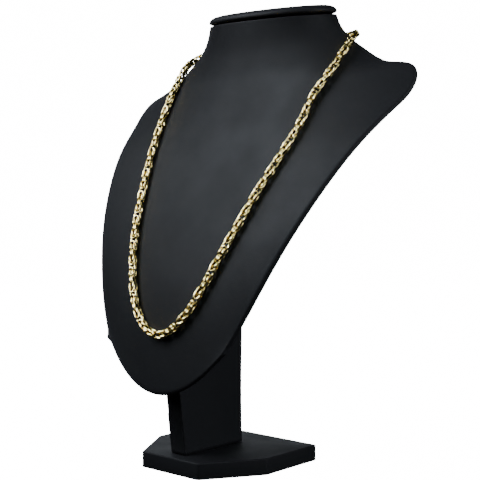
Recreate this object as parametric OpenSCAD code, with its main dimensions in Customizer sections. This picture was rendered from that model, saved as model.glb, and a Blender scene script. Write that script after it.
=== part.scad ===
// Byzantine chain hung on a covered neck bust.
// Millimetres, +Z up, the bust faces -Y, the table is at Z = 0.

/* [Bust] */
// Height of the neck's rim above the table, at the middle of its tilt
rim_h = 298; // [270:1:330]
// Height of the chest's lower lip above the table
lip_h = 53; // [45:1:70]
// Width across the two shoulder tips
shoulder_w = 240.6; // [210:0.2:260]
// How much the right shoulder tip stands over its section's height, and the left one under it
side_rise = 3; // [0:0.2:5]
// How far the lower lip stands in front of the neck's middle
lean = 112; // [100:1:125]
// Width of the neck's oval rim
neck_w = 100.7; // [90:0.1:106]
// Depth of the neck's oval rim, front to back
neck_d = 65.5; // [58:0.5:70]
// Forward tilt of the rim, in degrees
neck_tilt = 8.7; // [4:0.1:12]
// Sideways tilt of the rim, down towards the right, in degrees
neck_roll = 1.7; // [0:0.1:3]
// Thickness of the covered shell
wall = 2.6; // [2:0.1:3]
// How much lower the nape's hem runs at its middle than at its ends
nape_dip = 5; // [2:0.5:8]

/* [Cap] */
// Thickness of the padded cap at its middle
cap_t = 6.4; // [5:0.1:8]
// Height of the cap's upright edge
cap_edge = 1.9; // [1.2:0.1:3.2]

/* [Column] */
// Thickness of the column's board, side to side
column_t = 12.6; // [10:0.1:18]
// Distance of the column's foot from the neck's middle, at its front edge
column_front = 92; // [84:0.5:95]
// Distance of the column from the neck's middle, at its back edge
column_back = 38; // [34:0.5:46]

/* [Base] */
// Width of the base at its back
base_w = 97; // [85:1:115]
// Width of the base's front edge, between the two cut corners
base_front_w = 49.5; // [40:0.5:60]
// Thickness of the base
base_t = 10.5; // [8:0.5:14]
// Distance of the base's front edge from the neck's middle
base_front = 100.5; // [97:0.5:108]
// Distance from the neck's middle at which the cut corners end
base_corner = 62.5; // [55:0.5:75]
// Distance of the base's back edge from the neck's middle
base_back = 11.5; // [5:0.5:25]

/* [Chain] */
// Width of the chain across its weave
chain_w = 5; // [4:0.1:6]
// Space between the chain and the bust's cover
chain_gap = 0.3; // [0.2:0.05:0.6]
// Length of the clasp's barrel
barrel_l = 11; // [9:0.5:14]
// Diameter of the clasp's barrel
barrel_d = 4.6; // [4:0.1:5]
// Diameter of the wire of the clasp's two loops
loop_wire = 0.9; // [0.7:0.1:1.1]

/* [Hidden] */
// Space left at each covered joint between two pieces
seam = 0.3;

// Sections of the bust from the neck's rim down to the chest's lip.
// Out: 0 at the neck's side, 1 at the shoulder tip. Wrap: angle of the section's arc.
// Reach: share of the way forward. Drop: share of the way down from rim to lip.
// Side rise: share of the height by which the two edges differ.
// Columns: edge out, wrap, front reach, front drop, edge reach, edge drop, side rise
SECTIONS = [
    [0.000, 90.0, 0.000, 0.020, 0.000, 0.000, 0.0],
    [0.085, 80.0, 0.000, 0.055, 0.007, 0.043, 0.0],
    [0.219, 68.0, 0.003, 0.090, 0.007, 0.078, 0.0],
    [0.394, 58.5, 0.012, 0.122, 0.007, 0.112, 0.0],
    [0.595, 51.5, 0.033, 0.160, 0.002, 0.146, 0.0],
    [0.788, 47.0, 0.058, 0.190, 0.005, 0.165, 0.7],
    [0.932, 44.5, 0.091, 0.223, 0.022, 0.181, 1.0],
    [1.000, 43.3, 0.134, 0.260, 0.055, 0.209, 0.5],
    [0.992, 43.0, 0.184, 0.298, 0.124, 0.248, 0.0],
    [0.930, 43.3, 0.243, 0.337, 0.225, 0.291, 0.0],
    [0.801, 43.8, 0.370, 0.408, 0.425, 0.380, 0.0],
    [0.622, 43.2, 0.560, 0.514, 0.624, 0.508, 0.0],
    [0.441, 41.2, 0.750, 0.642, 0.763, 0.633, 0.0],
    [0.267, 38.6, 0.885, 0.770, 0.853, 0.749, 0.0],
    [0.140, 36.0, 0.955, 0.883, 0.900, 0.823, 0.0],
    [0.024, 33.5, 1.000, 1.000, 0.938, 0.874, 0.0]
];
EDGE_OUT = 0;
WRAP = 1;
FRONT_REACH = 2;
FRONT_DROP = 3;
EDGE_REACH = 4;
EDGE_DROP = 5;
SIDE_RISE = 6;

// The chain's way over the front, from its lowest point up to the shoulder's ridge.
// Columns: share across the section on the left, the same on the right, section counted from the rim, lift off the cover
FRONT_ROUTE = [
    [0.000, 0.000, 13.77, 0.0], [0.172, 0.150, 13.65, 0.0], [0.298, 0.284, 13.35, 0.0],
    [0.388, 0.374, 12.90, 0.0], [0.447, 0.444, 12.25, 0.0], [0.479, 0.484, 11.60, 0.0],
    [0.495, 0.502, 10.95, 0.0], [0.512, 0.513, 10.30, 0.0], [0.527, 0.509, 9.60, 0.0],
    [0.534, 0.493, 8.70, 0.0], [0.530, 0.484, 7.70, 0.1], [0.530, 0.507, 6.70, 0.2],
    [0.550, 0.562, 5.80, 0.3], [0.602, 0.630, 4.90, 0.4], [0.706, 0.724, 3.90, 0.5],
    [0.855, 0.865, 3.00, 0.5]
];
// The sections at which the chain crosses the ridge between chest and nape, on the left and on the
// right, and its lift there
ridge_left = 2.45;
ridge_right = 2.25;
ridge_lift = 0.2;
// The chain's way round the nape, from near the ridge to the middle of the back.
// Columns: share from the middle of the back to the ridge, section counted from the rim, lift off the cover
NAPE_ROUTE = [
    [0.88, 1.98, 1.0], [0.70, 1.66, 0.4], [0.45, 1.44, 0.4], [0.22, 1.39, 0.2], [0.00, 1.38, 0.2]
];

// The rim's sideways tilt has died out by this section
roll_end = 1.3;
// The nape's panel runs from the rim down to this section
nape_end = 4;
// Sections between which the column's front follows the shell's inner face, and the space left there
column_meets = [13.5, 10.4];
column_gap = 0.5;

rim_front = neck_d / 2 * cos(neck_tilt);
rim_rise = neck_d / 2 * sin(neck_tilt);
chest_drop = rim_h - lip_h;
last_section = len(SECTIONS) - 1;
chain_off = chain_w / 2 + chain_gap;

// Grid steps of the modelled sheets, and the chain's stand-in tube
steps_per_section = 2;
front_columns = 30;
nape_rows = 8;
nape_columns = 22;
cap_sides = 48;
tube_sides = 10;
column_steps = 8;
route_steps = 12;
eps = 0.001;

function mix(a, b, s) = a + (b - a) * s;
function unit(v) = v / norm(v);
function clamp(v, low, high) = max(low, min(high, v));

// Catmull-Rom blend of four neighbours a, b, c, d at share f between b and c
function blend(a, b, c, d, f) =
    b + 0.5 * f * (c - a + f * (2 * a - 5 * b + 4 * c - d + f * (3 * (b - c) + d - a)));

// A smooth row between the rows of an open list
function open_spline(list, t) =
    let (
        last = len(list) - 1,
        q = clamp(t, 0, last),
        i = min(floor(q), last - 1)
    )
    blend(list[max(i - 1, 0)], list[i], list[i + 1], list[min(i + 2, last)], q - i);

// A smooth point between the points of a closed list
function closed_spline(list, t) =
    let (
        n = len(list),
        i = floor(t)
    )
    blend(list[(i + n - 1) % n], list[i % n], list[(i + 1) % n], list[(i + 2) % n], t - i);

// One section in millimetres: oval half width, wrap, front y, front z, edge y, edge z, side rise
function section(k) =
    let (s = SECTIONS[k])
    [
        mix(neck_w, shoulder_w, s[EDGE_OUT]) / 2 / sin(s[WRAP]),
        s[WRAP],
        -mix(rim_front, lean, s[FRONT_REACH]),
        k == 0 ? rim_h - rim_rise : rim_h - chest_drop * s[FRONT_DROP],
        -lean * s[EDGE_REACH],
        rim_h - chest_drop * s[EDGE_DROP],
        side_rise * s[SIDE_RISE]
    ];
ROWS = [for (k = [0 : last_section]) section(k)];

// A point moved down by the rim's sideways tilt, which fades with the section t
function rolled(p, t) = p - [0, 0, p[0] * tan(neck_roll) * pow(max(0, 1 - t / roll_end), 2)];

// A point of the front shell's outer face: u is -1 at one edge and 1 at the other, t counts sections
function front_at(u, t) =
    let (
        r = open_spline(ROWS, t),
        h = (1 - cos(u * r[1])) / (1 - cos(r[1]))
    )
    rolled([r[0] * sin(u * r[1]), mix(r[2], r[4], h), mix(r[3], r[5], h) + r[6] * u * u * u], t);

function front_normal(u, t) =
    unit(cross(front_at(u, t + eps) - front_at(u, t - eps), front_at(u + eps, t) - front_at(u - eps, t)));

// A point of the nape's outer face: an oval arc from ridge to ridge round the back
function nape_at(a, t) =
    let (
        edge = open_spline(ROWS, t),
        half = edge[0] * sin(edge[1]),
        rise = mix(rim_rise, -nape_dip, t / nape_end)
    )
    rolled([half * sin(90 * a), edge[4] + rim_front * cos(90 * a), edge[5] + edge[6] + rise * cos(90 * a)], t);

function nape_normal(a, t) =
    unit(cross(nape_at(a + eps, t) - nape_at(a - eps, t), nape_at(a, t + eps) - nape_at(a, t - eps)));

// The nape starts just behind the front shell's own thickness
function nape_reach(t) =
    acos((seam + wall * max(0, -front_normal(1, t)[1])) / rim_front) / 90;

// A direction laid flat in the plane that has the given normal
function laid_in(dir, plane) = unit(dir - (dir * plane) * plane);
RIM_PLANE = unit([tan(neck_roll), -tan(neck_tilt), 1]);
BACK_PLANE = [0, 1, 0];

// Two triangles for each cell of a grid, and a strip round its four sides, inner face n points on
function sheet_faces(rows, cols) =
    let (
        n = rows * cols,
        at = function (i, j) i * cols + j
    )
    concat(
        [for (i = [0 : rows - 2], j = [0 : cols - 2], k = [0, 1])
            k == 0 ? [at(i, j), at(i, j + 1), at(i + 1, j + 1)] : [at(i, j), at(i + 1, j + 1), at(i + 1, j)]],
        [for (i = [0 : rows - 2], j = [0 : cols - 2], k = [0, 1])
            k == 0 ? [n + at(i, j), n + at(i + 1, j + 1), n + at(i, j + 1)]
                : [n + at(i, j), n + at(i + 1, j), n + at(i + 1, j + 1)]],
        [for (j = [0 : cols - 2]) [at(0, j + 1), at(0, j), n + at(0, j), n + at(0, j + 1)]],
        [for (j = [0 : cols - 2])
            [at(rows - 1, j), at(rows - 1, j + 1), n + at(rows - 1, j + 1), n + at(rows - 1, j)]],
        [for (i = [0 : rows - 2]) [at(i, 0), at(i + 1, 0), n + at(i + 1, 0), n + at(i, 0)]],
        [for (i = [0 : rows - 2])
            [at(i + 1, cols - 1), at(i, cols - 1), n + at(i, cols - 1), n + at(i + 1, cols - 1)]]
    );

// A sheet of even thickness under an outer face given as pairs of point and normal
module sheet(grid) {
    flat = [for (row = grid) each row];
    polyhedron(
        points = concat([for (s = flat) s[0]], [for (s = flat) s[0] - wall * s[1]]),
        faces = sheet_faces(len(grid), len(grid[0])),
        convexity = 6
    );
}

// Stations of the chain's centre line, each a point and the outward direction of what carries it.
// Side is -1 on the left and 1 on the right
function seated(p, n, lift) = [p + (chain_off + lift) * n, n];
function front_station(q, side) =
    let (u = side < 0 ? -q[0] : q[1])
    seated(front_at(u, q[2]), front_normal(u, q[2]), q[3]);
function ridge_station(side) =
    let (t = side < 0 ? ridge_left : ridge_right)
    seated(front_at(side, t), unit(front_normal(side, t) + nape_normal(side * nape_reach(t), t)), ridge_lift);
function nape_station(q, side) =
    seated(nape_at(side * q[0], q[1]), nape_normal(side * q[0], q[1]), q[2]);
front_last = len(FRONT_ROUTE) - 1;
nape_last = len(NAPE_ROUTE) - 1;
ROUTE = concat(
    [for (k = [nape_last : -1 : 0]) nape_station(NAPE_ROUTE[k], 1)],
    [ridge_station(1)],
    [for (k = [front_last : -1 : 1]) front_station(FRONT_ROUTE[k], 1)],
    [for (k = [0 : front_last]) front_station(FRONT_ROUTE[k], -1)],
    [ridge_station(-1)],
    [for (k = [0 : nape_last - 1]) nape_station(NAPE_ROUTE[k], -1)]
);
ROUTE_POINTS = [for (s = ROUTE) s[0]];
ROUTE_DIRS = [for (s = ROUTE) s[1]];

// The route walked in small steps from the middle of the back, with the length gone so far
WALK = [for (i = [0 : len(ROUTE) * route_steps]) closed_spline(ROUTE_POINTS, i / route_steps)];
GONE = [for (i = 0, g = 0; i < len(WALK);
    g = g + (i + 1 < len(WALK) ? norm(WALK[i + 1] - WALK[i]) : 0), i = i + 1) [g, i / route_steps]];
chain_length = GONE[len(GONE) - 1][0];

// The clasp takes the middle of the back, and the chain's tube starts and ends beside its loops
loop_r = barrel_d / 2 - loop_wire / 2;
clasp_half = barrel_l / 2 + loop_r * 2 + loop_wire / 2;
tube_start = clasp_half + seam;
tube_rings = ceil((chain_length - 2 * tube_start) / (chain_w * 2)) + 1;
function tube_ring(k) =
    let (
        gone = mix(tube_start, chain_length - tube_start, k / (tube_rings - 1)),
        t = lookup(gone, GONE),
        p = closed_spline(ROUTE_POINTS, t),
        along = unit(closed_spline(ROUTE_POINTS, t + eps) - p),
        out = closed_spline(ROUTE_DIRS, t),
        up = unit(out - (out * along) * along),
        side = cross(along, up)
    )
    [for (i = [0 : tube_sides - 1]) let (a = i * 360 / tube_sides)
        p + chain_w / 2 * (cos(a) * up + sin(a) * side)];
TUBE_POINTS = [for (k = [0 : tube_rings - 1]) each tube_ring(k)];

// The model stands over the middle of its own footprint, front to back
clasp_p = ROUTE_POINTS[0];
y_front = min(min([for (p = TUBE_POINTS) p[1]]), -lean);
y_back = max(max([for (p = TUBE_POINTS) p[1]]), clasp_p[1] + barrel_d / 2);
y_mid = (y_front + y_back) / 2;

// Outline of the cap at an inset, in the rim's tilted plane
CAP_PROFILE = [
    [0.9, 0], [0, 0.8], [0, cap_edge], [0.5, mix(cap_edge, cap_t, 0.35)],
    [1.6, mix(cap_edge, cap_t, 0.64)], [3.4, mix(cap_edge, cap_t, 0.86)],
    [7, mix(cap_edge, cap_t, 0.96)], [20, cap_t]
];

module centred() {
    translate([0, -y_mid, 0]) children();
}

// Padded oval lid that closes the neck
module neck_cap() {
    rings = len(CAP_PROFILE);
    color("#1d1f22")
    centred()
    translate([0, 0, rim_h])
    rotate([neck_tilt, neck_roll, 0])
    translate([0, 0, seam])
    polyhedron(
        points = [for (q = CAP_PROFILE, i = [0 : cap_sides - 1]) let (a = i * 360 / cap_sides)
            [(neck_w / 2 - q[0]) * cos(a), (neck_d / 2 - q[0]) * sin(a), q[1]]],
        faces = concat(
            [for (k = [0 : rings - 2], i = [0 : cap_sides - 1], h = [0, 1])
                let (j = (i + 1) % cap_sides, low = k * cap_sides, high = low + cap_sides)
                h == 0 ? [low + i, high + i, high + j] : [low + i, high + j, low + j]],
            [[for (i = [0 : cap_sides - 1]) i]],
            [[for (i = [cap_sides - 1 : -1 : 0]) (rings - 1) * cap_sides + i]]
        )
    );
}

// Neck front, shoulders and chest in one moulded sheet
module bust_front() {
    rows = last_section * steps_per_section;
    color("#26292d")
    centred()
    sheet([for (i = [0 : rows])
        let (t = i / steps_per_section)
        [for (j = [0 : front_columns])
            let (u = 2 * j / front_columns - 1, n = front_normal(u, t))
            [front_at(u, t), i == 0 ? laid_in(n, RIM_PLANE) : n]]]);
}

// Back of the neck, from ridge to ridge
module nape_panel() {
    color("#222428")
    centred()
    sheet([for (i = [0 : nape_rows])
        let (t = nape_end * i / nape_rows, reach = nape_reach(t))
        [for (j = [0 : nape_columns])
            let (a = reach * (1 - 2 * j / nape_columns), n = nape_normal(a, t))
            [nape_at(a, t), i == 0 ? laid_in(n, RIM_PLANE) : j % nape_columns == 0 ? laid_in(n, BACK_PLANE) : n]]]);
}

// Upright board that carries the chest, cut to the curve of its inner face
module column() {
    curve = [for (k = [0 : column_steps])
        let (
            t = mix(column_meets[0], column_meets[1], k / column_steps),
            r = open_spline(ROWS, t),
            u = asin(column_t / 2 / r[0]) / r[1],
            p = front_at(u, t) - (wall + column_gap) * front_normal(u, t)
        )
        [p[1], p[2]]];
    foot = base_t + seam;
    color("#1a1c1e")
    centred()
    rotate([90, 0, 90])
    linear_extrude(height = column_t, center = true)
    polygon(concat(
        [[-column_back, foot], [-column_front, foot]],
        curve,
        [[-column_back, curve[column_steps][1]]]
    ));
}

// Flat plate with its two front corners cut off
module base() {
    color("#1b1d1f")
    centred()
    linear_extrude(height = base_t)
    polygon([
        [-base_w / 2, -base_back], [-base_w / 2, -base_corner], [-base_front_w / 2, -base_front],
        [base_front_w / 2, -base_front], [base_w / 2, -base_corner], [base_w / 2, -base_back]
    ]);
}

// The woven chain as one tube of its outer width
module chain() {
    color("#d9b756")
    centred()
    polyhedron(
        points = TUBE_POINTS,
        faces = concat(
            [for (k = [0 : tube_rings - 2], i = [0 : tube_sides - 1], h = [0, 1])
                let (j = (i + 1) % tube_sides, near = k * tube_sides, far = near + tube_sides)
                h == 0 ? [near + i, far + j, near + j] : [near + i, far + i, far + j]],
            [[for (i = [0 : tube_sides - 1]) i]],
            [[for (i = [tube_sides - 1 : -1 : 0]) (tube_rings - 1) * tube_sides + i]]
        ),
        convexity = 8
    );
}

// Plain barrel with a wire loop at each end
module clasp() {
    color("#d9b756")
    centred()
    translate(clasp_p) {
        rotate([0, 90, 0])
            rotate_extrude($fn = 48)
            polygon([
                [0, -barrel_l / 2], [barrel_d / 2 - 0.8, -barrel_l / 2], [barrel_d / 2, -barrel_l / 2 + 0.8],
                [barrel_d / 2, barrel_l / 2 - 0.8], [barrel_d / 2 - 0.8, barrel_l / 2], [0, barrel_l / 2]
            ]);
        for (s = [-1, 1])
            translate([s * (barrel_l / 2 + loop_r), 0, 0])
            rotate([90, 0, 0])
            rotate_extrude($fn = 48)
            translate([loop_r, 0])
            circle(d = loop_wire, $fn = 24);
    }
}

neck_cap();
bust_front();
nape_panel();
column();
base();
chain();
clasp();
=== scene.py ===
"""Looks of a byzantine chain on a covered neck bust.

Every surface is a function of two parameters worked out on a grid with numpy. Sizes are in
millimetres in the tables and properties, as in the part's source, and in metres in the meshes.
"""

import math

import bpy
import numpy as np
from bpy.props import FloatProperty, FloatVectorProperty, IntProperty, PointerProperty
from bpy.types import Operator, Panel, PropertyGroup
from mathutils import Matrix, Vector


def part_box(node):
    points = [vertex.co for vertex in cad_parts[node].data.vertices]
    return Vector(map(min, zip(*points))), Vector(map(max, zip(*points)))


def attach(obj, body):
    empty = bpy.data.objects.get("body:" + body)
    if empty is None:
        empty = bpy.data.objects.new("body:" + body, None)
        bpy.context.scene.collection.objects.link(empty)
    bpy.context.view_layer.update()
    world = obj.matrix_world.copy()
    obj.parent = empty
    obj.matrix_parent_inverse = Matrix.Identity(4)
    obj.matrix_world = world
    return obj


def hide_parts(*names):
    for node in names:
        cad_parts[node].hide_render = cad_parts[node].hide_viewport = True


bl_info = {
    "name": "Byzantine chain on neck bust",
    "version": (1, 0, 0),
    "blender": (4, 5, 0),
    "location": "View3D > Sidebar > Neck bust",
    "description": "Builds the woven chain, its clasp and the covered bust over the fixed model",
    "category": "Add Mesh",
}

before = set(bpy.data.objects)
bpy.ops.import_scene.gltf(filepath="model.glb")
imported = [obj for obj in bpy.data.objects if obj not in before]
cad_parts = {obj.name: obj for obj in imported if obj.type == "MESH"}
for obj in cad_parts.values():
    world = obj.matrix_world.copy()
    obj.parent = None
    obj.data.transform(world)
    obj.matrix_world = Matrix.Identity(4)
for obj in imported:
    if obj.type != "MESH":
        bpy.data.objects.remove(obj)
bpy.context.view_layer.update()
MM = 0.001

# Sections of the bust from the neck's rim down to the chest's lip, as shares of the named sizes.
# Columns: edge out, wrap (degrees), front reach, front drop, edge reach, edge drop, side rise
SECTIONS = np.array([
    [0.000, 90.0, 0.000, 0.020, 0.000, 0.000, 0.0],
    [0.085, 80.0, 0.000, 0.055, 0.007, 0.043, 0.0],
    [0.219, 68.0, 0.003, 0.090, 0.007, 0.078, 0.0],
    [0.394, 58.5, 0.012, 0.122, 0.007, 0.112, 0.0],
    [0.595, 51.5, 0.033, 0.160, 0.002, 0.146, 0.0],
    [0.788, 47.0, 0.058, 0.190, 0.005, 0.165, 0.7],
    [0.932, 44.5, 0.091, 0.223, 0.022, 0.181, 1.0],
    [1.000, 43.3, 0.134, 0.260, 0.055, 0.209, 0.5],
    [0.992, 43.0, 0.184, 0.298, 0.124, 0.248, 0.0],
    [0.930, 43.3, 0.243, 0.337, 0.225, 0.291, 0.0],
    [0.801, 43.8, 0.370, 0.408, 0.425, 0.380, 0.0],
    [0.622, 43.2, 0.560, 0.514, 0.624, 0.508, 0.0],
    [0.441, 41.2, 0.750, 0.642, 0.763, 0.633, 0.0],
    [0.267, 38.6, 0.885, 0.770, 0.853, 0.749, 0.0],
    [0.140, 36.0, 0.955, 0.883, 0.900, 0.823, 0.0],
    [0.024, 33.5, 1.000, 1.000, 0.938, 0.874, 0.0]
])
LAST_SECTION = len(SECTIONS) - 1
NAPE_END = 4.0
ROLL_END = 1.3

# The chain's way over the front, from its lowest point up to the shoulder's ridge.
# Columns: share across the section on the left, the same on the right, section, lift off the cover
FRONT_ROUTE = np.array([
    [0.000, 0.000, 13.77, 0.0], [0.172, 0.150, 13.65, 0.0], [0.298, 0.284, 13.35, 0.0],
    [0.388, 0.374, 12.90, 0.0], [0.447, 0.444, 12.25, 0.0], [0.479, 0.484, 11.60, 0.0],
    [0.495, 0.502, 10.95, 0.0], [0.512, 0.513, 10.30, 0.0], [0.527, 0.509, 9.60, 0.0],
    [0.534, 0.493, 8.70, 0.0], [0.530, 0.484, 7.70, 0.1], [0.530, 0.507, 6.70, 0.2],
    [0.550, 0.562, 5.80, 0.3], [0.602, 0.630, 4.90, 0.4], [0.706, 0.724, 3.90, 0.5],
    [0.855, 0.865, 3.00, 0.5]
])
# Where it crosses the ridge on the right and on the left, and its lift there
RIDGE_SECTIONS = np.array([2.25, 2.45])
RIDGE_LIFT = 0.2
# The chain's way round the nape. Columns: share from the back's middle to the ridge, section, lift
NAPE_ROUTE = np.array([
    [0.88, 1.98, 1.0], [0.70, 1.66, 0.4], [0.45, 1.44, 0.4], [0.22, 1.39, 0.2], [0.00, 1.38, 0.2],
])

# One unit of the weave: a pair of connector rings and a knot of two pairs that lean apart.
# Sizes are in widths of the chain's wire, the tilt in degrees
RING_LONG = 3.202
RING_SHORT = 1.832
KNOT_SPREAD = 1.12
KNOT_SHIFT = 0.4178
KNOT_TILT = 12.66
CONNECTOR_SPREAD = 0.515
# Degrees by which the weave is turned about its own line halfway up each side
TWIST = 30.0


def length_prop(name, description, default):
    """A size in millimetres."""
    return FloatProperty(name=name, description=description + ", mm", default=default)


def angle_prop(name, description, default):
    """An angle in degrees."""
    return FloatProperty(name=name, description=description + ", degrees", default=default)


def colour_prop(name, description, default):
    """A colour as linear red, green and blue."""
    return FloatVectorProperty(name=name, description=description, subtype="COLOR",
                               default=default, min=0, max=1)


class BustSizes(PropertyGroup):
    """Sizes of the covered bust."""

    rim_h: length_prop("Rim height", "Height of the neck's rim", 298.0)
    lip_h: length_prop("Lip height", "Height of the chest's lower lip", 53.0)
    shoulder_w: length_prop("Shoulder width", "Width across the shoulder tips", 240.6)
    side_rise: length_prop("Side rise", "Height of the right tip over its section", 3.0)
    lean: length_prop("Lean", "How far the lip stands forward", 112.0)
    neck_w: length_prop("Neck width", "Width of the neck's oval", 100.7)
    neck_d: length_prop("Neck depth", "Depth of the neck's oval", 65.5)
    neck_tilt: angle_prop("Neck tilt", "Forward tilt of the rim", 8.7)
    neck_roll: angle_prop("Neck roll", "Sideways tilt of the rim", 1.7)
    wall: length_prop("Shell", "Thickness of the covered shell", 2.6)
    nape_dip: length_prop("Nape dip", "How much lower the nape's hem runs", 5.0)
    cap_t: length_prop("Cap thickness", "Thickness of the padded cap", 6.4)
    cap_edge: length_prop("Cap edge", "Height of the cap's upright edge", 1.9)


class StandSizes(PropertyGroup):
    """Sizes of the column and the base."""

    column_t: length_prop("Column thickness", "Board's thickness", 12.6)
    column_front: length_prop("Column front", "Foot's front edge from the neck's middle", 92.0)
    column_back: length_prop("Column back", "Back edge from the neck's middle", 38.0)
    base_w: length_prop("Base width", "Width at the back", 97.0)
    base_front_w: length_prop("Front width", "Width of the base's front edge", 49.5)
    base_t: length_prop("Base thickness", "Thickness of the plate", 10.5)
    base_front: length_prop("Base front", "Front edge from the neck's middle", 100.5)
    base_corner: length_prop("Cut corner", "Where the cut corners end", 62.5)
    base_back: length_prop("Base back", "Back edge from the neck's middle", 11.5)


class ChainSizes(PropertyGroup):
    """Sizes of the woven chain and its clasp."""

    width: length_prop("Width", "Width across the weave", 5.0)
    gap: length_prop("Gap", "Space between chain and cover", 0.3)
    wire: length_prop("Wire", "Diameter of a ring's wire", 1.08)
    pitch: length_prop("Pitch", "Wanted length of one unit of the weave", 9.5)
    around: IntProperty(name="Ring steps", description="Steps round one ring", default=16, min=8)
    tube: IntProperty(name="Wire steps", description="Steps round the wire", default=6, min=4)
    barrel_l: length_prop("Barrel length", "Length of the clasp's barrel", 11.0)
    barrel_d: length_prop("Barrel diameter", "Diameter of the clasp's barrel", 4.6)
    loop_wire: length_prop("Loop wire", "Wire of the clasp's loops", 0.9)


class Finishes(PropertyGroup):
    """Colours of the two finishes and of the stage."""

    cover: colour_prop("Cover", "Leatherette's colour", (0.0314, 0.0314, 0.0353))
    gold: colour_prop("Gold", "Metal's colour", (0.91, 0.77, 0.34))
    # Painted shade: the gold is mixed towards this dark colour deep in the weave, where shade falls between
    # the rings
    painted_weave_shade: colour_prop("Painted_shade", "Metal's colour deep in the weave", (0.09, 0.070, 0.020))
    floor: colour_prop("Floor", "Floor's colour", (0.86, 0.86, 0.87))


# Curves and the bust's surface


def cubic_rows(table, t):
    """Rows at t of the natural cubic spline through a table's rows, one knot for each row.

    The slopes m solve m[i-1] + 4 m[i] + m[i+1] = 3 (p[i+1] - p[i-1]), and 2 m[0] + m[1] =
    3 (p[1] - p[0]) at each end; between two knots the row is the cubic with those slopes.
    """
    n = len(table)
    system = np.diag(np.full(n, 4.0)) + np.diag(np.ones(n - 1), 1) + np.diag(np.ones(n - 1), -1)
    system[0, 0] = system[-1, -1] = 2.0
    right = np.empty_like(table)
    right[1:-1] = 3 * (table[2:] - table[:-2])
    right[0] = 3 * (table[1] - table[0])
    right[-1] = 3 * (table[-1] - table[-2])
    slope = np.linalg.solve(system, right)
    i = np.clip(np.floor(t).astype(int), 0, n - 2)
    f = (t - i)[..., None]
    a, b, ma, mb = table[i], table[i + 1], slope[i], slope[i + 1]
    return a + f * ma + f ** 2 * (3 * (b - a) - 2 * ma - mb) + f ** 3 * (2 * (a - b) + ma + mb)


def ring_spline(points, t):
    """Points at t of the Catmull-Rom spline through a closed list of points."""
    n = len(points)
    i = np.floor(t).astype(int)
    f = (t - i)[..., None]
    a, b, c, d = (points[(i + k) % n] for k in (-1, 0, 1, 2))
    return b + 0.5 * f * (c - a + f * (2 * a - 5 * b + 4 * c - d + f * (3 * (b - c) + d - a)))


def unit(v):
    """Vectors scaled to length 1."""
    return v / np.linalg.norm(v, axis=-1, keepdims=True)


def smooth(x):
    """0 below 0, 1 above 1, and 3 x^2 - 2 x^3 between them."""
    x = np.clip(x, 0, 1)
    return x * x * (3 - 2 * x)


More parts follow.
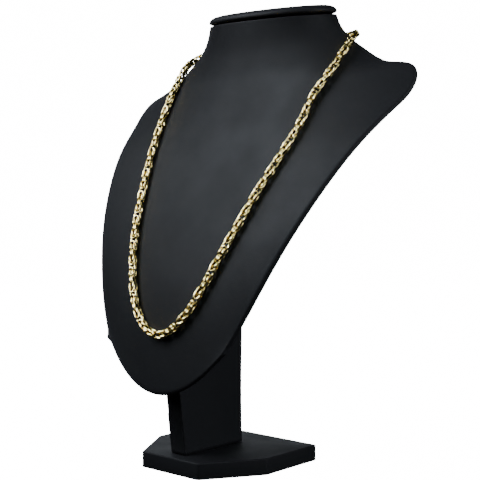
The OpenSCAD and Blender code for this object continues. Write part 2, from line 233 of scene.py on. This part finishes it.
class Bust:
    """The bust's outer faces as functions of two parameters, in millimetres from the neck's middle."""

    def __init__(self, s):
        tilt = math.radians(s.neck_tilt)
        self.s = s
        self.rim_front = s.neck_d / 2 * math.cos(tilt)
        self.rim_rise = s.neck_d / 2 * math.sin(tilt)
        out, wrap, reach, drop, edge_reach, edge_drop, rise = SECTIONS.T
        fall = s.rim_h - s.lip_h
        half = (s.neck_w + (s.shoulder_w - s.neck_w) * out) / 2
        front_z = s.rim_h - fall * drop
        front_z[0] = s.rim_h - self.rim_rise
        self.rows = np.stack([
            half / np.sin(np.radians(wrap)), wrap,
            -(self.rim_front + (s.lean - self.rim_front) * reach), front_z,
            -s.lean * edge_reach, s.rim_h - fall * edge_drop, s.side_rise * rise,
        ], axis=1)

    def rolled(self, x, y, z, t):
        """Points with z less x tan(roll) (1 - t / end)^2: the rim's sideways tilt, fading downwards."""
        fade = np.maximum(0, 1 - t / ROLL_END) ** 2
        return np.stack([x, y, z - x * math.tan(math.radians(self.s.neck_roll)) * fade], axis=-1)

    def front(self, u, t):
        """Section t is an arc: x = w sin(uA), and y and z run from the front's values to the edge's
        with (1 - cos(uA)) / (1 - cos(A)). The side rise times u cubed is added to z."""
        w, wrap, y0, z0, y1, z1, rise = np.moveaxis(cubic_rows(self.rows, t), -1, 0)
        angle = np.radians(wrap)
        h = (1 - np.cos(u * angle)) / (1 - np.cos(angle))
        return self.rolled(w * np.sin(u * angle), y0 + (y1 - y0) * h, z0 + (z1 - z0) * h + rise * u ** 3, t)

    def nape(self, a, t):
        """Section t is an oval arc behind the edge: x = edge sin(90a), y = edge + depth cos(90a),
        and z rises by a share of cos(90a) that turns into a dip at the hem."""
        w, wrap, _, _, y, z, side = np.moveaxis(cubic_rows(self.rows, t), -1, 0)
        turn = a * math.pi / 2
        rise = self.rim_rise - (self.rim_rise + self.s.nape_dip) * t / NAPE_END
        return self.rolled(w * np.sin(np.radians(wrap)) * np.sin(turn), y + self.rim_front * np.cos(turn),
                           z + side + rise * np.cos(turn), t)

    def slopes(self, face, u, t, step=1e-3):
        """Change of a face along its two parameters, by central differences."""
        along_u = (face(u + step, t) - face(u - step, t)) / (2 * step)
        along_t = (face(u, t + step) - face(u, t - step)) / (2 * step)
        return along_u, along_t

    def normal(self, face, u, t):
        """Outward direction: the cross product of the two slopes, turned away from the inside."""
        along_u, along_t = self.slopes(face, u, t)
        n = unit(np.cross(along_t, along_u))
        return n if face == self.front else -n

    def route(self, chain):
        """The chain's closed centre line as (points, outward directions), a station for each table row."""
        lift = chain.width / 2 + chain.gap
        right, left = FRONT_ROUTE[::-1, 1:], FRONT_ROUTE[1:, [0, 2, 3]] * [-1, 1, 1]
        u, t, up = np.concatenate([right, left]).T
        n = self.normal(self.front, u, t)
        front = self.front(u, t) + (lift + up)[:, None] * n
        side = np.array([1.0, -1.0])
        ridge_n = unit(self.normal(self.front, side, RIDGE_SECTIONS)
                       + self.normal(self.nape, 0.94 * side, RIDGE_SECTIONS))
        ridge = self.front(side, RIDGE_SECTIONS) + (lift + RIDGE_LIFT) * ridge_n
        a, t, up = np.concatenate([NAPE_ROUTE[::-1], NAPE_ROUTE[:-1] * [-1, 1, 1]]).T
        back_n = self.normal(self.nape, a, t)
        back = self.nape(a, t) + (lift + up)[:, None] * back_n
        m = len(NAPE_ROUTE)
        points = np.concatenate([back[:m], ridge[:1], front, ridge[1:], back[m:]])
        dirs = np.concatenate([back_n[:m], ridge_n[:1], n, ridge_n[1:], back_n[m:]])
        return points, dirs


# Meshes


def depth_shift():
    """How far the model stands behind the neck's middle line, in millimetres: the base's front edge
    in the frame against its named distance."""
    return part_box("base")[0][1] / MM + bpy.context.scene.stand_sizes.base_front


def quads(rows, cols):
    """Corner numbers of a grid's quads, row by row, with the last column joined to the first."""
    i, j = np.meshgrid(np.arange(rows - 1), np.arange(cols), indexing="ij")
    k = (j + 1) % cols
    corners = [i * cols + j, i * cols + k, (i + 1) * cols + k, (i + 1) * cols + j]
    return np.stack(corners, -1).reshape(-1, 4)


def ring_quads(around, tube):
    """Corner numbers of a closed ring's quads, for points counted round the wire and then along it."""
    i, j = np.meshgrid(np.arange(around), np.arange(tube), indexing="ij")
    i2, j2 = (i + 1) % around, (j + 1) % tube
    return np.stack([i * tube + j, i2 * tube + j, i2 * tube + j2, i * tube + j2], -1).reshape(-1, 4)


def add_piece(name, points, faces, material, replaces, merge=0.0, flip=False, recess=None):
    """Makes a smooth mesh piece in the row frame from millimetre points, attaches it to the root body and
    hides the part it replaces.
    """
    mesh = bpy.data.meshes.new(name)
    points = (np.asarray(points, float).reshape(-1, 3) + [0, depth_shift(), 0]) * MM
    faces = np.asarray(faces)[:, ::-1] if flip else np.asarray(faces)
    mesh.vertices.add(len(points))
    mesh.vertices.foreach_set("co", points.ravel())
    mesh.loops.add(faces.size)
    mesh.loops.foreach_set("vertex_index", faces.ravel().astype(np.int32))
    mesh.polygons.add(len(faces))
    mesh.polygons.foreach_set("loop_start", np.arange(0, faces.size, faces.shape[1], dtype=np.int32))
    mesh.update(calc_edges=True)
    mesh.validate()
    mesh.polygons.foreach_set("use_smooth", np.ones(len(mesh.polygons), bool))
    if recess is not None:
        layer = mesh.attributes.new("recess", "FLOAT", "POINT")
        layer.data.foreach_set("value", np.ravel(recess).astype(np.float32))
    obj = bpy.data.objects.new(name, mesh)
    bpy.context.scene.collection.objects.link(obj)
    if merge:
        weld = obj.modifiers.new("weld", "WELD")
        weld.merge_threshold = merge * MM
        graph = bpy.context.evaluated_depsgraph_get()
        joined = bpy.data.meshes.new_from_object(obj.evaluated_get(graph))
        obj.modifiers.clear()
        obj.data = joined
        joined.name = name
        bpy.data.meshes.remove(mesh)
    obj.data.materials.append(material)
    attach(obj, "root")
    if replaces:
        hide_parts(replaces)
    return obj


def sheet(bust, face, columns, rows, span, side, top, end):
    """A sheet of the shell's thickness with rolled edges, as closed loops, one for each row.

    Every point is face(u, t) less a depth along the normal. A loop runs over the outer face, round
    the right edge, back over the inner face and round the left edge. An edge is given as (reach,
    depth, inset): a quarter of an oval that leaves the face at the reach before the edge and is
    turned square to it at that depth, and then a quarter of a circle down to the inner face. The
    inset is how far the whole edge stands in from the span. Side gives the right edge and the left.
    At the top and the end each loop's depth d closes to the edge's depth e with e + (d - e) cos(turn).
    """
    wall = bust.s.wall
    middle = np.linspace(0, 1, rows) * (LAST_SECTION if face == bust.front else NAPE_END)
    along = [bust.slopes(face, k * span * np.ones(rows), middle)[0] for k in (1, -1)]
    speed = [np.linalg.norm(a, axis=-1)[:, None] for a in along]
    out, back = np.radians([15, 30, 45, 60, 75, 90])[None], np.radians([30, 60, 90])[None]
    # The columns crowd towards both edges
    crowd = 1.45
    share = np.sin(np.linspace(-1, 1, columns) * crowd) / math.sin(crowd)
    outer = inner = 0 * share + 0 * middle[:, None]
    rolled = []
    for sign, edge, v in zip((1, -1), side(middle), speed):
        reach, depth, inset = (np.broadcast_to(e, rows)[:, None] for e in edge)
        rest = wall - depth
        outer = np.where(sign * share > 0, share * (span - (reach + inset) / v), outer)
        inner = np.where(sign * share > 0, share * (span - (rest + inset) / v), inner)
        roll = np.concatenate([-reach * (1 - np.sin(out)), -rest * (1 - np.cos(back))], 1) - inset
        sunk = np.concatenate([depth * (1 - np.cos(out)), depth + rest * np.sin(back)], 1)
        rolled.append((sign * (span + roll / v), sunk))
    (right_u, right_d), (left_u, left_d) = rolled
    u = np.concatenate([outer, right_u, inner[:, ::-1][:, 1:-1], left_u[:, ::-1]], 1)
    d = np.concatenate([0 * outer, right_d, 0 * inner[:, 1:-1] + wall, left_d[:, ::-1]], 1)
    pace = [np.linalg.norm(bust.slopes(face, u[k], middle[k] + 0 * u[k])[1], axis=-1) for k in (0, -1)]
    low, high = (top[0] + top[2]) / pace[0], middle[-1] - (end[0] + end[2]) / pace[1]
    t = low + (high - low) * (middle / middle[-1])[:, None]
    turn = np.radians(np.linspace(0, 90, 7))[1:, None]
    loops = [(u, t, d)]
    for k, (far, deep, _), v, sign in ((-1, end, pace[1], 1), (0, top, pace[0], -1)):
        more = (u[k] + 0 * turn, t[k] + sign * far * np.sin(turn) / v, deep + (d[k] - deep) * np.cos(turn))
        loops = loops + [more] if sign > 0 else [tuple(m[::-1] for m in more)] + loops
    u, t, d = (np.concatenate(part) for part in zip(*loops))
    return face(u, t) - d[..., None] * bust.normal(face, u, t)


def closed_stack(rings):
    """Points and quads of a stack of rings closed at both ends by shrinking to their middles."""
    first, last = rings[:1], rings[-1:]
    ends = [mid + (ring - mid) * k for ring in (first, last)
            for mid in [ring.mean(axis=1, keepdims=True)] for k in (0.55, 0.0)]
    grid = np.concatenate([ends[1], ends[0], rings, ends[2], ends[3]])
    return grid.reshape(-1, 3), quads(len(grid), grid.shape[1])


# Finishes


def node(tree, kind, place, **values):
    """A shader node with values set on its inputs or, failing that, on the node."""
    n = tree.nodes.new(kind)
    n.location = place
    for key, value in values.items():
        name = key.replace("_", " ")
        if name in n.inputs:
            n.inputs[name].default_value = value
        else:
            setattr(n, key, value)
    return n


def uneven_roughness(tree, shader, noise, low, high):
    """Roughness that follows a noise's middle range, from low to high."""
    sheen = node(tree, "ShaderNodeMapRange", (-500, 100))
    for name, value in (("From Min", 0.3), ("From Max", 0.7), ("To Min", low), ("To Max", high)):
        sheen.inputs[name].default_value = value
    tree.links.new(noise.outputs["Fac"], sheen.inputs["Value"])
    tree.links.new(sheen.outputs["Result"], shader.inputs["Roughness"])


def cover_finish(settings):
    """Satin black leatherette: fine pebbled grain, soft creases and a little uneven sheen."""
    mat = bpy.data.materials.new("leatherette")
    mat.use_nodes = True
    tree = mat.node_tree
    shader = tree.nodes["Principled BSDF"]
    shader.inputs["Base Color"].default_value = (*settings.cover, 1)
    coords = node(tree, "ShaderNodeTexCoord", (-1300, 0))
    cells = node(tree, "ShaderNodeTexVoronoi", (-900, -250), feature="SMOOTH_F1", Scale=1500.0,
                 Smoothness=0.6)
    folds = node(tree, "ShaderNodeTexNoise", (-900, -550), Scale=420.0, Detail=4.0)
    cloud = node(tree, "ShaderNodeTexNoise", (-900, 200), Scale=38.0, Detail=3.0)
    for n in (cells, folds, cloud):
        tree.links.new(coords.outputs["Object"], n.inputs["Vector"])
    grain = node(tree, "ShaderNodeMath", (-650, -350), operation="ADD")
    tree.links.new(cells.outputs["Distance"], grain.inputs[0])
    tree.links.new(folds.outputs["Fac"], grain.inputs[1])
    bump = node(tree, "ShaderNodeBump", (-400, -350), Strength=0.22, Distance=0.00012)
    tree.links.new(grain.outputs[0], bump.inputs["Height"])
    tree.links.new(bump.outputs["Normal"], shader.inputs["Normal"])
    uneven_roughness(tree, shader, cloud, 0.50, 0.60)
    return mat


def gold_finish(settings):
    """Polished yellow gold, with hair-fine rubbing in its highlights and painted shade deep in the weave."""
    mat = bpy.data.materials.new("polished_gold")
    mat.use_nodes = True
    tree = mat.node_tree
    shader = tree.nodes["Principled BSDF"]
    shader.inputs["Metallic"].default_value = 1.0
    # Painted shade: the base colour darkens from gold towards the dark colour inside the weave
    deep = node(tree, "ShaderNodeAttribute", (-800, 300), attribute_name="recess")
    tone = node(tree, "ShaderNodeMix", (-400, 300), data_type="RGBA")
    tone.inputs["A"].default_value = (*settings.gold, 1)
    tone.inputs["B"].default_value = (*settings.painted_weave_shade, 1)
    tree.links.new(deep.outputs["Fac"], tone.inputs["Factor"])
    tree.links.new(tone.outputs["Result"], shader.inputs["Base Color"])
    coords = node(tree, "ShaderNodeTexCoord", (-1100, 0))
    rub = node(tree, "ShaderNodeTexNoise", (-800, 0), Scale=900.0, Detail=3.0)
    tree.links.new(coords.outputs["Object"], rub.inputs["Vector"])
    uneven_roughness(tree, shader, rub, 0.12, 0.22)
    return mat


def finish_of(name):
    """The finish of that name, made the first time it is asked for.

    The solids' own plain materials have the slots' names, so the finishes have others.
    """
    makers = {"leatherette": cover_finish, "polished_gold": gold_finish}
    return bpy.data.materials.get(name) or makers[name](bpy.context.scene.finishes)


# Operators


class BUST_OT_front_cover(Operator):
    """Neck front, shoulders and chest as one covered sheet with rolled edges"""

    bl_idname = "neckbust.front_cover"
    bl_label = "Front cover"

    def execute(self, context):
        bust = Bust(context.scene.bust_sizes)

        def side(t):
            # Tight where the nape joins, rolled below the ridge and widest over the right side
            below = smooth((t - NAPE_END + 0.5) / 0.9)
            right = 0.15 + 3.05 * below, 0.15 + 1.75 * below, below * (1.9 * smooth((t - 7) / 2) - 0.9)
            left = 0.15 + 0.65 * below, 0.15 + 0.65 * below, -below * (0.6 + 0.6 * smooth((t - 11) / 3))
            return right, left

        grid = sheet(bust, bust.front, 141, 201, 1.0, side, (0.8, 0.8, 0.0), (2.6, 1.8, -1.6))
        add_piece("bust_cover", grid, quads(*grid.shape[:2]), finish_of("leatherette"),
                  "bust_front", merge=0.01)
        return {"FINISHED"}


class BUST_OT_nape_cover(Operator):
    """Back of the neck, from ridge to ridge, with a rolled hem"""

    bl_idname = "neckbust.nape_cover"
    bl_label = "Nape cover"

    def execute(self, context):
        bust = Bust(context.scene.bust_sizes)
        tight = (0.15, 0.15, 0.0)
        grid = sheet(bust, bust.nape, 101, 71, 0.997, lambda t: (tight, tight),
                     (0.8, 0.8, 0.0), (1.6, 1.6, 0.0))
        add_piece("nape_cover", grid, quads(*grid.shape[:2]), finish_of("leatherette"),
                  "nape_panel", merge=0.01, flip=True)
        return {"FINISHED"}


class BUST_OT_cap(Operator):
    """Padded oval lid on the neck"""

    bl_idname = "neckbust.cap"
    bl_label = "Neck cap"

    def execute(self, context):
        s = context.scene.bust_sizes
        seam = 0.3
        # Inset from the oval and height over the rim: a rolled foot, then a quarter of an oval that
        # flattens out over the top
        bulge, curve = 0.45, 8.0
        rise = s.cap_t - s.cap_edge
        foot = np.array([[4.0, 0.3], [1.8, 0.4], [0.7, 0.65], [0.0, 1.05], [-0.35, 1.5],
                         [-bulge, s.cap_edge + 0.1]])
        quarter = np.radians(np.linspace(0, 90, 14))[1:-1]
        pad = np.stack([curve * (1 - np.cos(quarter)) - bulge,
                        s.cap_edge + 0.94 * rise * np.sin(quarter)], 1)
        crown = np.array([[12.0, s.cap_edge + 0.97 * rise], [20.0, s.cap_t]])
        profile = np.concatenate([foot, pad, crown])
        angle = np.linspace(0, 2 * math.pi, 144, endpoint=False)
        inset, height = profile[:, :1], profile[:, 1:]
        x = (s.neck_w / 2 - inset) * np.cos(angle)
        y = (s.neck_d / 2 - inset) * np.sin(angle)
        rings = np.stack([x, y, height + seam + 0 * x], axis=-1)
        roll = Matrix.Rotation(math.radians(s.neck_roll), 3, "Y")
        turn = roll @ Matrix.Rotation(math.radians(s.neck_tilt), 3, "X")
        rings = rings @ np.array(turn).T + [0, 0, s.rim_h]
        points, faces = closed_stack(rings)
        cap = add_piece("cap_pad", points, faces, finish_of("leatherette"),
                        "neck_cap", merge=0.01)
        return {"FINISHED"}


def rounded_outline(corners, radius, steps=6):
    """A polygon with its corners rounded, as (points, outward directions).

    At each corner an arc of that radius touches both sides; corners run anticlockwise.
    """
    corners = np.asarray(corners, float)
    radius = np.broadcast_to(radius, len(corners))
    before, after = np.roll(corners, 1, 0), np.roll(corners, -1, 0)
    d0, d1 = unit(corners - before), unit(after - corners)
    n0, n1 = np.stack([d0[:, 1], -d0[:, 0]], 1), np.stack([d1[:, 1], -d1[:, 0]], 1)
    half = np.arccos(np.clip((d0 * d1).sum(1), -1, 1)) / 2
    centre = corners - unit(n0 + n1) * (radius / np.cos(half))[:, None]
    start = np.arctan2(n0[:, 1], n0[:, 0])
    sweep = np.linspace(0, 1, steps)
    angle = start[:, None] + 2 * half[:, None] * sweep
    dirs = np.stack([np.cos(angle), np.sin(angle)], -1)
    points = centre[:, None] + radius[:, None, None] * dirs
    return points.reshape(-1, 2), dirs.reshape(-1, 2)


class BUST_OT_base(Operator):
    """Covered plate with two cut corners and soft edges"""

    bl_idname = "neckbust.base"
    bl_label = "Base"

    def execute(self, context):
        s = context.scene.stand_sizes
        w, f = s.base_w / 2, s.base_front_w / 2
        corners = [[-w, -s.base_corner], [-f, -s.base_front], [f, -s.base_front], [w, -s.base_corner],
                   [w, -s.base_back], [-w, -s.base_back]]
        outline, out = rounded_outline(corners, [3, 1.5, 2.5, 3, 1.2, 1.5], steps=8)
        edge, foot_edge = 0.9, 0.35
        turn = np.radians(np.linspace(0, 90, 6))
        top = np.stack([edge * (1 - np.cos(turn)), s.base_t - edge + edge * np.sin(turn)], 1)
        foot = foot_edge * np.stack([1 - np.cos(turn), 1 - np.sin(turn)], 1)[::-1]
        profile = np.concatenate([foot, top])
        plane = outline[None] - profile[:, :1, None] * out[None]
        rings = np.concatenate([plane, np.broadcast_to(profile[:, 1:, None], plane.shape[:2] + (1,))], -1)
        points, faces = closed_stack(rings)
        add_piece("base_cover", points, faces, finish_of("leatherette"), "base", merge=0.01)
        return {"FINISHED"}


class BUST_OT_column(Operator):
    """Covered board between base and chest, slightly waisted, with its cover lapped on the left"""

    bl_idname = "neckbust.column"
    bl_label = "Column"

    def execute(self, context):
        s = context.scene.stand_sizes
        bust = Bust(context.scene.bust_sizes)
        seam, gap, waist_top, lap_top = 0.3, 0.5, 70, 27.5
        t = np.linspace(13.5, 10.4, 25)
        row = cubic_rows(bust.rows, t)
        u = np.degrees(np.arcsin(s.column_t / 2 / row[:, 0])) / row[:, 1]
        curve = bust.front(u, t) - (bust.s.wall + gap) * bust.normal(bust.front, u, t)
        foot = s.base_t + seam
        z = np.concatenate([np.linspace(foot, curve[0, 2], 40)[:-1], curve[:, 2]])
        straight = np.interp(z, [foot, curve[0, 2]], [-s.column_front, curve[0, 1]])
        front = np.where(z < curve[0, 2], straight, np.interp(z, curve[:, 2], curve[:, 1]))
        back = -s.column_back - 0.6 * np.sin(np.clip((z - foot) / waist_top, 0, 1) * math.pi)
        board = self.post(-s.column_t / 2, s.column_t / 2, front, back, z, 0.7)
        low = z < foot + lap_top
        lap = self.post(-s.column_t / 2 - 0.8, -s.column_t / 2 + 1.2, front[low] + 0.4, front[low] + 17,
                        z[low], 0.45)
        points, faces = closed_stack(board)
        more, lapped = closed_stack(lap)
        faces = np.concatenate([faces, lapped + len(points)])
        add_piece("column_cover", np.concatenate([points, more]), faces,
                  finish_of("leatherette"), "column", merge=0.001)
        return {"FINISHED"}

    def post(self, left, right, front, back, z, radius):
        """Rings of an upright box whose front and back follow z, with upright edges of that radius."""
        corner = np.array([[-1.0, -1], [1, -1], [1, 1], [-1, 1]])
        box, out = rounded_outline(corner, 0.0, steps=6)
        half_x, half_y = (right - left) / 2, (back - front)[:, None] / 2
        x = (left + right) / 2 + box[None, :, 0] * (half_x - radius) + radius * out[None, :, 0]
        x = x + 0 * half_y
        y = (front + back)[:, None] / 2 + box[None, :, 1] * (half_y - radius) + radius * out[None, :, 1]
        return np.stack([x, y, z[:, None] + 0 * x], -1)


def ring_tube(plane, long, short, wire, around, tube):
    """A ring of round wire: the centre line is an oval, long along z and short across, and the wire's
    circle stands on its in-plane normal and the plane's normal. Returns (around, tube, 3)."""
    a = (np.arange(around) + 0.5) * 2 * math.pi / around
    b = np.arange(tube) * 2 * math.pi / tube
    flat = np.stack([short * np.cos(a), long * np.sin(a)], 1)
    n = unit(np.stack([long * np.cos(a), short * np.sin(a)], 1))
    reach = flat[:, None] + wire / 2 * np.cos(b)[None, :, None] * n[:, None]
    off = np.broadcast_to(wire / 2 * np.sin(b)[None], reach.shape[:2])
    if plane == "x":
        return np.stack([off, reach[..., 0], reach[..., 1]], -1)
    return np.stack([reach[..., 0], -off, reach[..., 1]], -1)


def leaned(ring, plane, tilt, x, y, z):
    """A ring whose top leans towards its plane's own direction by the tilt, then moved."""
    c, s = math.cos(tilt), math.sin(tilt)
    if plane == "x":
        turn = np.array([[c, 0, s], [0, 1, 0], [-s, 0, c]])
    else:
        turn = np.array([[1, 0, 0], [0, c, s], [0, -s, c]])
    return ring @ turn.T + [x, y, z]


class BUST_OT_chain(Operator):
    """The byzantine weave: connector pairs and knots of leaning pairs along the chain's route"""

    bl_idname = "neckbust.chain"
    bl_label = "Chain"

    def execute(self, context):
        s = context.scene.chain_sizes
        bust = Bust(context.scene.bust_sizes)
        points, dirs = bust.route(s)
        step = np.linspace(0, len(points), len(points) * 40 + 1)
        walk = ring_spline(points, step)
        gone = np.concatenate([[0], np.cumsum(np.linalg.norm(np.diff(walk, axis=0), axis=1))])
        wire = s.wire
        loop_r = s.barrel_d / 2 - s.loop_wire / 2
        first = s.barrel_l / 2 + 2 * loop_r - (s.loop_wire + wire) / 2 + RING_LONG * wire
        span = gone[-1] - 2 * first
        units = int(round(span / s.pitch / 2)) * 2
        pitch = span / units
        tilt = math.radians(KNOT_TILT)
        ring = {p: ring_tube(p, RING_LONG * wire, RING_SHORT * wire, wire, s.around, s.tube) for p in "xy"}
        even, odd = [], []
        for side in (-1, 1):
            c = side * CONNECTOR_SPREAD * wire
            k = side * KNOT_SPREAD * wire
            high, low = KNOT_SHIFT * wire, -KNOT_SHIFT * wire
            even += [
                leaned(ring["x"], "x", 0, c, 0, 0),
                leaned(ring["y"], "y", side * tilt, 0, k, pitch / 2 + high),
                leaned(ring["x"], "x", -side * tilt, k, 0, pitch / 2 + low),
            ]
            odd += [
                leaned(ring["y"], "y", 0, 0, c, 0),
                leaned(ring["x"], "x", side * tilt, k, 0, pitch / 2 + high),
                leaned(ring["y"], "y", -side * tilt, 0, k, pitch / 2 + low),
            ]
        cells = [np.array(even), np.array(odd)]
        parts = [cells[i % 2] + [0, 0, i * pitch] for i in range(units)]
        last = np.array(even[0::3])
        parts.append(last + [0, 0, units * pitch])
        straight = np.concatenate(parts)
        s_along = first + straight[..., 2:]
        t = np.interp(s_along[..., 0], gone, step)
        centre = ring_spline(points, t)
        ahead = unit(ring_spline(points, t + 0.01) - ring_spline(points, t - 0.01))
        out = ring_spline(dirs, t)
        out = unit(out - (out * ahead).sum(-1, keepdims=True) * ahead)
        side = np.cross(ahead, out)
        twist = math.radians(TWIST) * np.sin(2 * math.pi * s_along / gone[-1])
        turned = [np.cos(twist) * side + np.sin(twist) * out, np.cos(twist) * out - np.sin(twist) * side]
        bent = centre + straight[..., :1] * turned[0] + straight[..., 1:2] * turned[1]
        n, around, tube = bent.shape[:3]
        start = np.arange(n) * around * tube
        faces = (ring_quads(around, tube) + start[:, None, None]).reshape(-1, 4)
        # Painted shade: 1 in the weave's shaded inside, 0 on the outside of the rings. Both are shares of
        # half the chain's width: where the painted shade starts to fade, and over how much it does
        dark, fade = 0.50, 0.36
        outward = np.linalg.norm(straight[..., :2], axis=-1) / (s.width / 2)
        add_piece("chain_links", bent, faces, finish_of("polished_gold"), "chain",
                  recess=1 - smooth((outward - dark) / fade))
        return {"FINISHED"}


class BUST_OT_clasp(Operator):
    """Plain barrel clasp with a wire loop at each end, in the middle of the back"""

    bl_idname = "neckbust.clasp"
    bl_label = "Clasp"

    def execute(self, context):
        s = context.scene.chain_sizes
        bust = Bust(context.scene.bust_sizes)
        middle = bust.route(s)[0][0]
        r, h = s.barrel_d / 2, s.barrel_l / 2
        # Columns: distance along the barrel, radius
        half = np.array([[0.0, r], [0.15, r - 0.16], [0.3, r], [h - 1.9, r], [h - 1.75, r - 0.18],
                         [h - 1.6, r], [h - 0.7, r], [h - 0.3, r - 0.15], [h - 0.08, r - 0.45],
                         [h, r - 0.9], [h, 0.6]])
        profile = np.concatenate([half[::-1] * [-1, 1], half[1:]])
        angle = np.linspace(0, 2 * math.pi, 48, endpoint=False)
        x = np.repeat(profile[:, :1], len(angle), 1)
        rings = np.stack([x, profile[:, 1:] * np.cos(angle), profile[:, 1:] * np.sin(angle)], -1) + middle
        points, faces = closed_stack(rings)
        sets, number = [points], len(points)
        corners = [faces]
        loop_r = r - s.loop_wire / 2
        loop = ring_tube("y", loop_r, loop_r, s.loop_wire, 32, 10)
        around, tube = loop.shape[:2]
        for side in (-1, 1):
            sets.append(loop.reshape(-1, 3) + middle + [side * (h + loop_r), 0, 0])
            corners.append(ring_quads(around, tube) + number)
            number += around * tube
        add_piece("clasp_barrel", np.concatenate(sets), np.concatenate(corners),
                  finish_of("polished_gold"), "clasp", merge=0.001)
        return {"FINISHED"}


class BUST_OT_stage(Operator):
    """Pale floor, soft lights and the camera"""

    bl_idname = "neckbust.stage"
    bl_label = "Stage"

    def execute(self, context):
        scene = context.scene
        # Metres from the middle to the edge of the floor, and how brightly it and the dome glow
        reach, glow = 6, 16.0
        a = np.linspace(0, 2 * math.pi, 96, endpoint=False)
        disc = np.stack([reach * np.cos(a), reach * np.sin(a), 0 * a], 1)
        self.set_piece("floor", disc, [list(range(96))], scene.finishes.floor, glow)
        # A dome as bright as the floor, so that no horizon shows
        rise = np.linspace(0, math.pi / 2, 24)[:, None]
        dome = np.stack([reach * np.cos(rise) * np.cos(a), reach * np.cos(rise) * np.sin(a),
                         reach * np.sin(rise) + 0 * a], -1)
        self.set_piece("backdrop", dome.reshape(-1, 3), quads(24, 96)[:, ::-1].tolist(), (1, 1, 1), glow)

        # Soft panels. Columns: name, degrees from the front towards the left, degrees over the
        # horizon, width and height in metres, watts, only on the chain
        lights = [
            ("key_front", 35, 48, 0.85, 0.55, 5.6, False), ("key_low", 35, 27, 0.85, 0.55, 3.7, False),
            ("key_side", 65, 48, 0.85, 0.55, 3.0, False), ("right_high", -65, 48, 0.85, 0.55, 0.9, False),
            ("right_back", -100, 27, 0.85, 0.55, 3.0, False), ("right_low", -100, 8, 0.85, 0.55, 2.3, False),
            ("left_back", 125, 8, 0.85, 0.55, 1.25, False), ("back", 155, 8, 0.85, 0.55, 1.1, False),
            ("glow_key", 30, 35, 1.0, 0.4, 62.0, True), ("glow_top", 0, 68, 0.6, 0.4, 9.0, True),
            ("glow_right", -80, 35, 0.3, 0.6, 4.0, True),
        ]
        only_chain = bpy.data.collections.new("lit_by_glows")
        only_chain.objects.link(bpy.data.objects["chain_links"])
        aim, far = np.array([0, 0, 0.2]), 1.7
        for name, turn, height, wide, tall, watts, chain_only in lights:
            data = bpy.data.lights.new(name, "AREA")
            data.shape = "RECTANGLE"
            data.size, data.size_y, data.energy = wide, tall, watts
            data.color = (1.0, 1.0, 1.0) if chain_only else (0.92, 1.0, 1.09)
            a, e = math.radians(turn), math.radians(height)
            lamp = bpy.data.objects.new(name, data)
            lamp.matrix_world = aimed(aim + far * np.array([-math.sin(a) * math.cos(e),
                                                            -math.cos(a) * math.cos(e), math.sin(e)]), aim)
            scene.collection.objects.link(lamp)
            if chain_only:
                lamp.light_linking.receiver_collection = only_chain

        world = bpy.data.worlds.new("studio")
        world.use_nodes = True
        world.node_tree.nodes["Background"].inputs["Color"].default_value = (0.97, 0.98, 1.0, 1)
        world.node_tree.nodes["Background"].inputs["Strength"].default_value = 0.01
        scene.world = world

        lens = bpy.data.cameras.new("camera")
        lens.lens, lens.sensor_width = 75.0, 36.0
        camera = bpy.data.objects.new("camera", lens)
        azimuth, pitch = math.radians(41.66), math.radians(1.63)
        place = Matrix.Translation((0.4493, (-538.3 + depth_shift()) * MM, 0.1651))
        camera.matrix_world = (place @ Matrix.Rotation(azimuth, 4, "Z")
                               @ Matrix.Rotation(math.pi / 2 - pitch, 4, "X"))
        scene.collection.objects.link(camera)
        scene.camera = camera
        return {"FINISHED"}

    def set_piece(self, name, points, faces, colour, strength):
        """A glowing part of the stage that lights nothing and shows in no reflection."""
        mat = bpy.data.materials.new("pale_" + name)
        mat.use_nodes = True
        shader = mat.node_tree.nodes["Principled BSDF"]
        shader.inputs["Base Color"].default_value = (*colour, 1)
        shader.inputs["Roughness"].default_value = 0.7
        shader.inputs["Emission Color"].default_value = (1, 1, 1, 1)
        shader.inputs["Emission Strength"].default_value = strength
        mesh = bpy.data.meshes.new(name)
        mesh.from_pydata(np.asarray(points).tolist(), [], faces)
        mesh.materials.append(mat)
        obj = bpy.data.objects.new(name, mesh)
        obj.visible_diffuse = obj.visible_glossy = obj.visible_transmission = obj.visible_shadow = False
        bpy.context.scene.collection.objects.link(obj)


def aimed(place, aim):
    """A lamp's matrix at a place, its -Z towards the aim."""
    back = unit(np.array(place, float) - np.array(aim, float))
    right = unit(np.cross([0, 0, 1], back))
    up = np.cross(back, right)
    m = np.eye(4)
    m[:3, 0], m[:3, 1], m[:3, 2], m[:3, 3] = right, up, back, place
    return Matrix(m.tolist())


class BUST_PT_panel(Panel):
    """Lists the pieces of the bust and the chain"""

    bl_idname = "BUST_PT_panel"
    bl_label = "Neck bust"
    bl_space_type = "VIEW_3D"
    bl_region_type = "UI"
    bl_category = "Neck bust"

    def draw(self, context):
        for op in OPERATORS:
            self.layout.operator(op.bl_idname, text=op.bl_label)


OPERATORS = (BUST_OT_front_cover, BUST_OT_nape_cover, BUST_OT_cap, BUST_OT_column, BUST_OT_base,
             BUST_OT_chain, BUST_OT_clasp, BUST_OT_stage)
GROUPS = {"bust_sizes": BustSizes, "stand_sizes": StandSizes, "chain_sizes": ChainSizes, "finishes": Finishes}


def register():
    for cls in (*GROUPS.values(), *OPERATORS, BUST_PT_panel):
        bpy.utils.register_class(cls)
    for name, cls in GROUPS.items():
        setattr(bpy.types.Scene, name, PointerProperty(type=cls))


def unregister():
    for name in GROUPS:
        delattr(bpy.types.Scene, name)
    for cls in (BUST_PT_panel, *reversed(OPERATORS), *reversed(tuple(GROUPS.values()))):
        bpy.utils.unregister_class(cls)


def main():
    """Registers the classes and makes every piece."""
    register()
    for op in OPERATORS:
        area, name = op.bl_idname.split(".")
        getattr(getattr(bpy.ops, area), name)()


if __name__ == "__main__":
    main()
